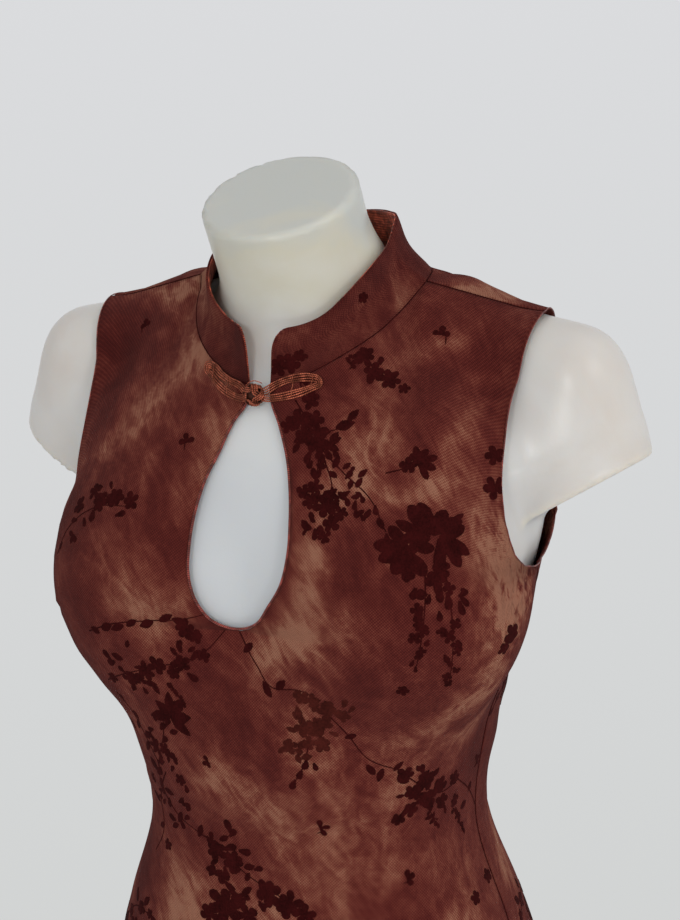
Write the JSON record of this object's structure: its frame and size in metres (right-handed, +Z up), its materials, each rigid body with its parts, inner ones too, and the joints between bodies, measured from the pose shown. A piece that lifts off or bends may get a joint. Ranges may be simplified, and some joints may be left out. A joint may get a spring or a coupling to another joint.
{
  "type": "cheongsam dress on limbless dress form",
  "caption": "Sleeveless cheongsam dress with stand collar, frog fastening and teardrop keyhole, standing on a limbless dress form with a pole and a round base.",
  "frame": {"origin": "on the floor, in the middle of the underside of the base plate", "axes": "+Z up along the pole; the dress faces -Y; the wearer's left side is towards +X"},
  "size_m": [0.432, 0.38, 1.5122],
  "materials": {
    "dress_net": "fine net over lining, soft sheen",
    "rust_satin": "soft satin",
    "copper_cord": "satin cord",
    "form_plastic": "translucent off-white, softly glossy",
    "pole_steel": "brushed",
    "base_paint": "satin paint"
  },
  "bodies": {
    "root": {"front_panel": "dress_net", "back_panel": "dress_net", "collar": "dress_net", "collar_facing": "rust_satin", "keyhole_binding": "rust_satin", "frog_knot": "copper_cord", "frog_loop_left": "copper_cord", "frog_loop_right": "copper_cord", "form_torso": "form_plastic", "form_pole": "pole_steel", "form_base": "base_paint"}
  },
  "joints": []
}
